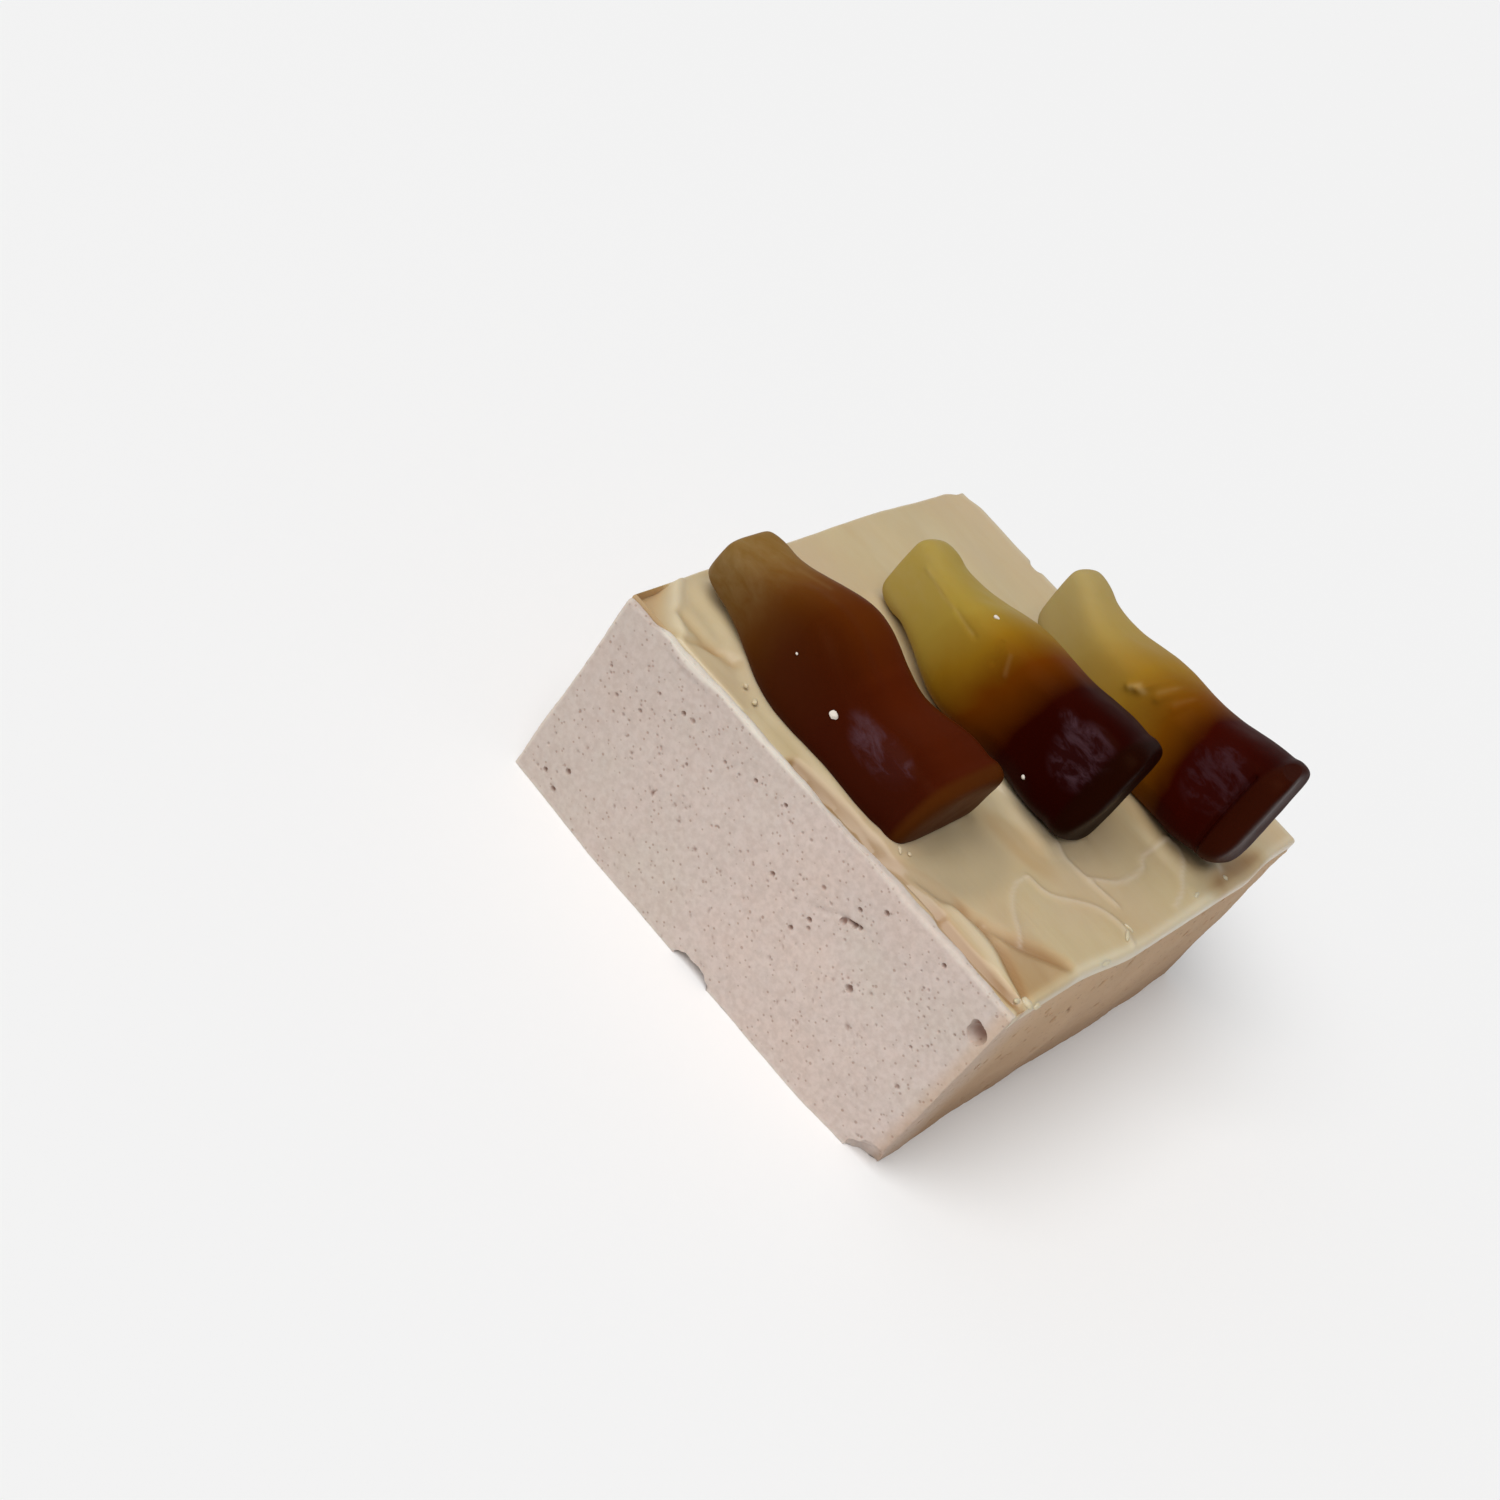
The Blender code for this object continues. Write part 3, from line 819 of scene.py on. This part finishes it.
def reach_up(at, upper, surfaces):
    """How far each spot of the glaze has to rise to meet a gummy above it, and beside it by less and less."""
    high = np.nonzero(upper)[0]
    tree = kdtree.KDTree(len(high))
    rise = np.zeros(len(at))
    for index in high:
        tree.insert(at[index], int(index))
        start = Vector(at[index]) - Vector((0, 0, 3 * MM))
        for surface in surfaces:
            hit = surface.ray_cast(start, Vector((0, 0, 1)), 6 * MM)[0]
            if hit:
                rise[index] = max(0.02 * MM, hit.z - at[index][2] + 0.1 * MM)
    tree.balance()
    rise = np.minimum(rise, 0.75 * MM)
    for reach in (0.9 * MM, 0.7 * MM):
        level = rise.copy()
        for index in high:
            level[index] = np.mean([rise[number] for _, number, _ in tree.find_range(at[index], reach)])
        rise = level
    return rise


def add_crumbs(piece, crumbs, finish):
    """Sets torn crumbs into a surface: each one's place and half sizes in mm, and its turn in degrees."""
    for number, (place, half, turn) in enumerate(crumbs):
        deselect()
        bpy.ops.mesh.primitive_ico_sphere_add(subdivisions=3, radius=1.0, location=(0, 0, 0))
        crumb = bpy.context.active_object
        crumb.scale = [h * MM for h in half]
        crumb.rotation_euler = (0, math.radians(12), math.radians(turn))
        crumb.location = [c * MM for c in place]
        bpy.ops.object.transform_apply(location=True, rotation=True, scale=True)
        least = min(half) * MM
        roughen(crumb, f"crumb_{number}", 0.6 * least + 0.2 * MM, 0.8 * least)
        crumb.data.materials.append(finish)
        take(piece, crumb)
        bpy.ops.object.join()


# The gummies

# A gummy bottle from base to cap: distance, half width, thickness, all in mm
BOTTLE = (
    (0.0, 6.6, 8.0), (0.7, 7.3, 9.1), (2.0, 7.55, 9.5), (2.7, 7.25, 9.1), (3.6, 7.4, 9.3), (5.6, 7.5, 9.5),
    (8.4, 7.25, 8.7), (11.4, 7.0, 7.7), (14.8, 7.0, 9.2), (18.2, 7.1, 11.5), (21.6, 6.85, 12.5),
    (25.3, 5.65, 11.2), (28.0, 5.0, 9.3), (30.5, 4.6, 7.8), (32.6, 4.55, 6.7), (33.5, 4.9, 6.3),
    (35.6, 4.95, 5.6), (37.3, 4.3, 4.8),
)
BOTTLE_LENGTH = 37.3
BACK_FLATNESS = 0.52
CORNER_SHARE = 0.45

# Where the section's outer points go, for each row of them: level, then width and height factors
SECTION = ((-1.0, 0.97, 0.97), (-CORNER_SHARE, 1.02, 1.0), (CORNER_SHARE, 0.97, 0.92), (1.0, 0.80, 0.90))

# How each gummy lies: its base's place in mm, turn, dip and roll, its bow, and width and thickness factors
LIES = {
    "gummy_bottle_1": ((8.65, -24.3, 32.7), -2.2, 3.3, 4.1, 2.1, 0.97, 1.02),
    "gummy_bottle_2": ((16.55, -5.9, 35.6), -9.7, -4.5, 74.0, 0.7, 0.99, 0.99),
    "gummy_bottle_3": ((27.45, 10.2, 35.65), -13.2, -5.7, 79.2, 2.6, 1.02, 1.00),
}

# How far the front of each base stands out before its back, in mm
END_SLANTS = {"gummy_bottle_1": 0.4, "gummy_bottle_2": 1.8, "gummy_bottle_3": 1.8}

# Ridges and wrinkles on each gummy's front in its own mm: from, to, rise and half width
GUMMY_MARKS = {
    "gummy_bottle_1": (((-27.0, -1.0), (-14.0, -1.5), 0.1, 0.9),),
    "gummy_bottle_2": (((-33.5, 2.9), (-26.1, 3.1), 0.1, 0.3), ((-26.1, 3.1), (-21.5, 3.0), -0.12, 0.3),
                       ((-19.0, 4.6), (-18.2, 2.4), -0.15, 0.3), ((-17.6, 4.4), (-16.6, 2.2), 0.15, 0.35)),
    "gummy_bottle_3": (((-18.4, 4.0), (-17.6, 6.6), 0.34, 0.5), ((-16.4, 4.6), (-15.6, 7.0), 0.3, 0.5),
                       ((-14.4, 5.0), (-13.8, 7.2), 0.22, 0.5), ((-19.4, 3.6), (-19.0, 4.0), 0.45, 0.6),
                       ((-1.9, -5.5), (-1.9, 6.5), -0.45, 0.35)),
}

# Where a painted sheen lies on each gummy, in its own mm: middle and reach, then how dense it is
GUMMY_SHEENS = {
    "gummy_bottle_1": (((-8.4, -5.2, 2.2), (5.6, 2.1, 3.4), 1.0),),
    "gummy_bottle_2": (((-3.9, 2.4, 3.7), (4.4, 4.4, 3.5), 0.9), ((-8.0, 4.2, 4.5), (2.5, 1.5, 2.5), 0.9)),
    "gummy_bottle_3": (((-5.6, 3.6, 3.8), (5.0, 5.2, 3.5), 0.55),),
}

# Painted glints along edges the mould left, in its own mm: the line, its half width and how bright the glint
# is
GUMMY_GLINTS = {
    "gummy_bottle_1": ((((-30.0, 1.5), (-26.0, 1.2)), 0.4, 0.05),),
    "gummy_bottle_2": ((((-33.0, 2.9), (-29.0, 2.6), (-25.5, 3.1), (-22.0, 3.0)), 0.2, 0.12),
                       (((-17.4, 4.3), (-16.4, 2.3)), 0.2, 0.07)),
    "gummy_bottle_3": ((((-19.2, 3.7), (-18.7, 4.4), (-18.0, 4.2)), 0.35, 0.28),
                       (((-16.8, 5.2), (-16.3, 6.4)), 0.3, 0.08),
                       (((-14.8, 5.4), (-14.4, 6.6)), 0.3, 0.04)),
}

# Specks of foam stuck to each gummy, in its own mm: place and half sizes, then turn
GUMMY_SPECKS = {
    "gummy_bottle_1": (((-14.24, -6.35, 0.95), (0.55, 0.3, 0.42), 20),
                       ((-21.6, -6.3, 2.1), (0.16, 0.12, 0.14), 0)),
    "gummy_bottle_2": (((-21.94, 5.7, 3.9), (0.42, 0.25, 0.22), 30),
                       ((-7.24, -3.95, 3.45), (0.28, 0.28, 0.2), 0)),
    # Gummy 3's speck sits where its highlight shines: a pale speck standing in for a painted highlight
    "gummy_bottle_3": (((-18.9, 3.7, 5.2), (0.25, 0.2, 0.15), 0),),
}

# Colours along each gummy from cap to base, by share of its length
GUMMY_COLOURS = {
    "gummy_bottle_1": ((0.0, (132, 98, 44)), (0.12, (126, 88, 34)), (0.26, (108, 62, 14)),
                       (0.40, (90, 40, 3)), (0.62, (80, 26, 3)), (1.0, (72, 22, 4))),
    "gummy_bottle_2": ((0.0, (168, 144, 70)), (0.32, (164, 136, 54)), (0.46, (144, 104, 22)),
                       (0.575, (104, 50, 2)), (0.70, (44, 5, 1)), (1.0, (30, 2, 1))),
    "gummy_bottle_3": ((0.0, (174, 154, 100)), (0.28, (168, 140, 72)), (0.50, (152, 113, 34)),
                       (0.645, (116, 66, 6)), (0.76, (56, 8, 2)), (1.0, (40, 5, 2))),
}

# The painted light and shade of each one's flat base end
END_LIGHT_AND_SHADE = {"gummy_bottle_1": (78, 38, 8), "gummy_bottle_2": (28, 7, 2), "gummy_bottle_3": (50, 16, 6)}

# How far the dark end reaches up the back of each gummy, and how much painted shade darkens its lower side
GUMMY_SHADES = {"gummy_bottle_1": (0.0, 0.65), "gummy_bottle_2": (-0.2, 0.1), "gummy_bottle_3": (0.1, 0.1)}


def gummy_finish(name):
    finish, tree, shader = new_finish(name + "_jelly")
    tilt, shade = GUMMY_SHADES[name]
    lie = lie_of(name)
    fit = {"Vector": object_place(tree), "Location": lie.to_translation(), "Rotation": lie.to_euler()}
    inside = add_node(tree, "ShaderNodeMapping", fit, vector_type="TEXTURE").outputs[0]
    along, aside, _ = axes_of(tree, inside)
    streaks = noise_at(tree, narrowed(tree, inside, (1.0, 2.4, 2.4)), 260.0, 5.0, 0.62, 0.5)
    tilted = sums(tree, "ADD", along, sums(tree, "MULTIPLY", aside, tilt))
    share = grow(tree, tilted, -BOTTLE_LENGTH * MM, 0.0)
    share = sums(tree, "ADD", share, waver(tree, noise_at(tree, inside, 110.0, 2.0, 0.5, 0.5), 0.12))
    colour = ramp(tree, share, *((place, srgb(*rgb)) for place, rgb in GUMMY_COLOURS[name]))
    # Painted shade on the lower side
    low = grow(tree, aside, 1.0 * MM, -7.0 * MM, kind="SMOOTHSTEP")
    colour = blend(tree, sums(tree, "MULTIPLY", low, shade), colour, srgb(40, 8, 5))
    # A painted purple-grey sheen, in streaks
    film = sums(tree, "MULTIPLY", ramp(tree, streaks, (0.46, 0.1), (0.62, 1.0)), painted(tree, "film"))
    colour = blend(tree, sums(tree, "MULTIPLY", film, 0.55), colour, srgb(84, 60, 68))
    # Painted glints along the mould's edges
    colour = blend(tree, painted(tree, "glint"), colour, srgb(204, 178, 124))
    # Painted light and shade on the flat base end
    end = grow(tree, along, -1.9 * MM, -0.9 * MM, kind="SMOOTHSTEP")
    colour = blend(tree, sums(tree, "MULTIPLY", end, 0.85), colour, srgb(*END_LIGHT_AND_SHADE[name]))
    # A painted pale sheen on the neck
    toward_neck = grow(tree, along, -26 * MM, -35 * MM, kind="SMOOTHSTEP")
    neck_sheen = sums(tree, "MULTIPLY", ramp(tree, streaks, (0.35, 0.15), (0.7, 1.0)), toward_neck)
    colour = blend(tree, sums(tree, "MULTIPLY", neck_sheen, 0.18), colour, srgb(176, 158, 120))
    tree.links.new(colour, shader.inputs["Base Color"])
    tree.links.new(grow(tree, streaks, 0.0, 1.0, 0.34, 0.5), shader.inputs["Roughness"])
    set_sockets(shader, {"Specular IOR Level": 0.025, "Specular Tint": (1.0, 0.5, 0.25, 1.0),
                         "Subsurface Weight": 0.15, "Subsurface Radius": (1.0, 0.4, 0.15),
                         "Subsurface Scale": 1.5 * MM})
    add_relief(tree, shader, streaks, 0.25, 0.1 * MM)
    return finish


def speck_finish(name):
    finish, _, shader = new_finish(name + "_foam_speck")
    set_sockets(shader, {"Base Color": (*srgb(226, 216, 204), 1), "Roughness": 0.6})
    return finish


def lie_of(name):
    spot, turn, dip, roll, *_ = LIES[name]
    turned = (Matrix.Rotation(math.radians(turn), 4, "Z") @ Matrix.Rotation(math.radians(dip), 4, "Y")
              @ Matrix.Rotation(math.radians(roll), 4, "X"))
    return Matrix.Translation(Vector(spot) * MM) @ turned


def middle_of(thickness):
    """Height of a section's middle, so that the back stays flatter than the front."""
    thickest = max(row[2] for row in BOTTLE)
    return BACK_FLATNESS * (thickness - thickest) / 2 * MM


def model_bottle():
    """Draws one bottle out of a small brick: a squared section, swept from the base to the cap."""
    (s0, w0, t0), (s1, w1, t1) = BOTTLE[:2]
    bottle = add_brick("gummy_bottle", (-s1 * MM, -w1 * MM, -t1 / 2 * MM), (0.0, w1 * MM, t1 / 2 * MM))
    work_on(bottle, "EDGE")
    for axis, half in ((1, w1 * MM), (2, t1 / 2 * MM)):
        slice_rows(bottle, axis, 2)
        bpy.ops.mesh.select_mode(type="VERT")
        at = places(bottle)
        pick_rows(bottle, abs(at[:, axis]) < half * 0.5)
        # Two cuts leave the rows at a third of the half width
        stretch = [1.0, 1.0, 1.0]
        stretch[axis] = CORNER_SHARE * 3.0
        bpy.ops.transform.resize(value=stretch, center_override=(0, 0, 0))
        bpy.ops.mesh.select_mode(type="EDGE")
    bpy.ops.mesh.select_mode(type="VERT")
    at = places(bottle)
    for level, width, height in SECTION:
        pick_rows(bottle, (abs(at[:, 2] - level * t1 / 2 * MM) < 1e-6) & (abs(at[:, 1]) > 0.9 * w1 * MM))
        bpy.ops.transform.resize(value=(1, width, height), center_override=(0, 0, 0))
    pick_rows(bottle, (at[:, 2] > 0.9 * t1 / 2 * MM) & (abs(at[:, 1]) < 0.9 * w1 * MM))
    bpy.ops.transform.resize(value=(1, 0.95, 1), center_override=(0, 0, 0))
    pick_rows(bottle, at[:, 0] > -1e-6)
    bpy.ops.transform.resize(value=(1, w0 / w1, t0 / t1), center_override=(0, 0, 0))
    pick_rows(bottle, np.ones(len(at), bool))
    bpy.ops.transform.translate(value=(0, 0, middle_of(t1)))
    bpy.ops.mesh.select_mode(type="FACE")
    pick_faces(bottle, lambda spot, normal: normal.x < -0.9)
    for (s0, w0, t0), (s1, w1, t1) in zip(BOTTLE[1:], BOTTLE[2:]):
        bpy.ops.mesh.extrude_region_move(TRANSFORM_OT_translate={"value": ((s0 - s1) * MM, 0, 0)})
        bpy.ops.transform.resize(value=(1, w1 / w0, t1 / t0), center_override=(0, 0, middle_of(t0)))
        bpy.ops.transform.translate(value=(0, 0, middle_of(t1) - middle_of(t0)))
    leave()
    finish_with(bottle, "SUBSURF", levels=3, render_levels=3)
    finish_with(bottle, "SUBSURF", levels=1, render_levels=1)
    mould_front(bottle)
    return bottle


def mould_front(bottle):
    """Raises the label panel of the mould a little."""
    x, y, z = rows_of(bottle).T / MM
    panel = ease((5.4 - abs(y)) / 1.8) * ease((x + 16.0) / 2.0) * ease((-4.8 - x) / 1.6)
    raise_by(bottle, panel * ease((z + 0.5) / 2.0), 0.25 * MM)


def mark_gummy(gummy, name):
    """Presses each gummy's own ridges and wrinkles, and paints where its sheen and its glints lie, both
    painted highlights.
    """
    at = rows_of(gummy) / MM
    plan = at[:, :2]
    front = ease((at[:, 2] + 0.5) / 2.0)
    for start, end, rise, half in GUMMY_MARKS[name]:
        away = away_from_line(plan, [start, end])
        raise_by(gummy, bell(away, 0, half) * front, rise * MM)
    film = np.zeros(len(at))
    for middle, reach, dense in GUMMY_SHEENS[name]:
        off = np.linalg.norm((at - middle) / reach, axis=1)
        film = np.maximum(film, dense * (1 - ease((off - 0.55) / 0.45)))
    glint = np.zeros(len(at))
    for line, half, amount in GUMMY_GLINTS[name]:
        away = away_from_line(plan, line)
        glint = np.maximum(glint, amount * bell(away, 0, half) * front)
    paint(gummy, "film", film)
    paint(gummy, "glint", glint)


def lay_gummy(pattern, name):
    """Copies the bottle, bows and marks it as its own, and lays it in its place."""
    gummy = pattern.copy()
    gummy.data = pattern.data.copy()
    gummy.name = gummy.data.name = name + "_jelly"
    bpy.context.scene.collection.objects.link(gummy)
    *_, bow, width, thickness = LIES[name]
    lie = lie_of(name)
    work_on(gummy)
    x, _, _ = places(gummy).T
    bpy.ops.mesh.select_all(action="SELECT")
    bpy.ops.transform.resize(value=(1, width, thickness), center_override=(0, 0, 0))
    for end in (x > -CLOSE, x < CLOSE - BOTTLE_LENGTH * MM):
        pull(gummy, end, (0, bow * MM, 0), BOTTLE_LENGTH / 2 * MM, "SHARP")
    leave()
    x, y, z = rows_of(gummy).T / MM
    raise_by(gummy, ease((x + 7) / 7) * ease((z + 4) / 8) * ease((y + 8) / 8), END_SLANTS[name] * MM, "X")
    mark_gummy(gummy, name)
    gummy.matrix_world = lie
    take(gummy)
    bpy.ops.object.transform_apply(location=True, rotation=True, scale=True)
    roughen(gummy, name + "_dents", 4.5 * MM, 0.16 * MM, depth=1)
    work_on(gummy)
    level_off(gummy, places(gummy)[:, 2] > HIGHEST, 2, HIGHEST)
    leave()
    take(gummy)
    bpy.ops.object.shade_smooth()
    gummy.data.materials.append(gummy_finish(name))
    specks = [(lie @ (Vector(place) * MM) / MM, half, turn) for place, half, turn in GUMMY_SPECKS[name]]
    add_crumbs(gummy, specks, speck_finish(name))
    return gummy


# The setting


def make_floor():
    deselect()
    bpy.ops.mesh.primitive_plane_add(size=4.0, location=(0, 0, -0.02 * MM))
    floor = bpy.context.active_object
    floor.name = "floor"
    finish, _, shader = new_finish("floor_white")
    set_sockets(shader, {"Base Color": (0.95, 0.95, 0.95, 1), "Roughness": 0.9, "Specular IOR Level": 0.1})
    floor.data.materials.append(finish)


def add_window_light():
    deselect()
    bpy.ops.object.light_add(type="SUN", location=(-0.2, -0.5, 0.9))
    window = bpy.context.active_object
    window.name = "window"
    window.data.energy = 2.15
    window.data.angle = math.radians(50)
    window.rotation_euler = Vector((0.12, 0.48, -0.86)).to_track_quat("-Z", "Y").to_euler()


def add_camera():
    """The photograph's own view: from the front right, some 36 degrees up, and rolled."""
    deselect()
    bpy.ops.object.camera_add()
    camera = bpy.context.active_object
    camera.name = "camera"
    spot = Vector((62.80, -258.13, 194.64)) * MM
    right = Vector((0.64374, 0.58163, 0.49729))
    up = Vector((-0.72357, 0.25111, 0.64295))
    back = Vector((0.24908, -0.77372, 0.5825))
    camera.matrix_world = Matrix.Translation(spot) @ Matrix((right, up, back)).transposed().to_4x4()
    camera.data.lens = 67.2
    camera.data.sensor_width = 36.0
    camera.data.clip_start = 0.01
    bpy.context.scene.camera = camera


def light_the_table():
    world = bpy.data.worlds.new("soft_room")
    bpy.context.scene.world = world
    world.use_nodes = True
    sky = world.node_tree.nodes["Background"]
    sky.inputs["Color"].default_value = (1, 1, 1, 1)
    sky.inputs["Strength"].default_value = 0.35
    add_window_light()
    view = bpy.context.scene.view_settings
    view.view_transform = "Standard"
    view.exposure = 0.0


def main():
    add_camera()
    foam = make_foam()
    pattern = model_bottle()
    gummies = [lay_gummy(pattern, name) for name in LIES]
    bpy.data.objects.remove(pattern)
    glaze = make_glaze(gummies)
    for piece, node, slot in (
        (foam, "marshmallow_block", "marshmallow"),
        (glaze, "glaze_top", "glaze"),
        *((gummy, name, "gummy") for gummy, name in zip(gummies, LIES)),
    ):
        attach(piece, "root")
        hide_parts(node)
    make_floor()
    light_the_table()


main()
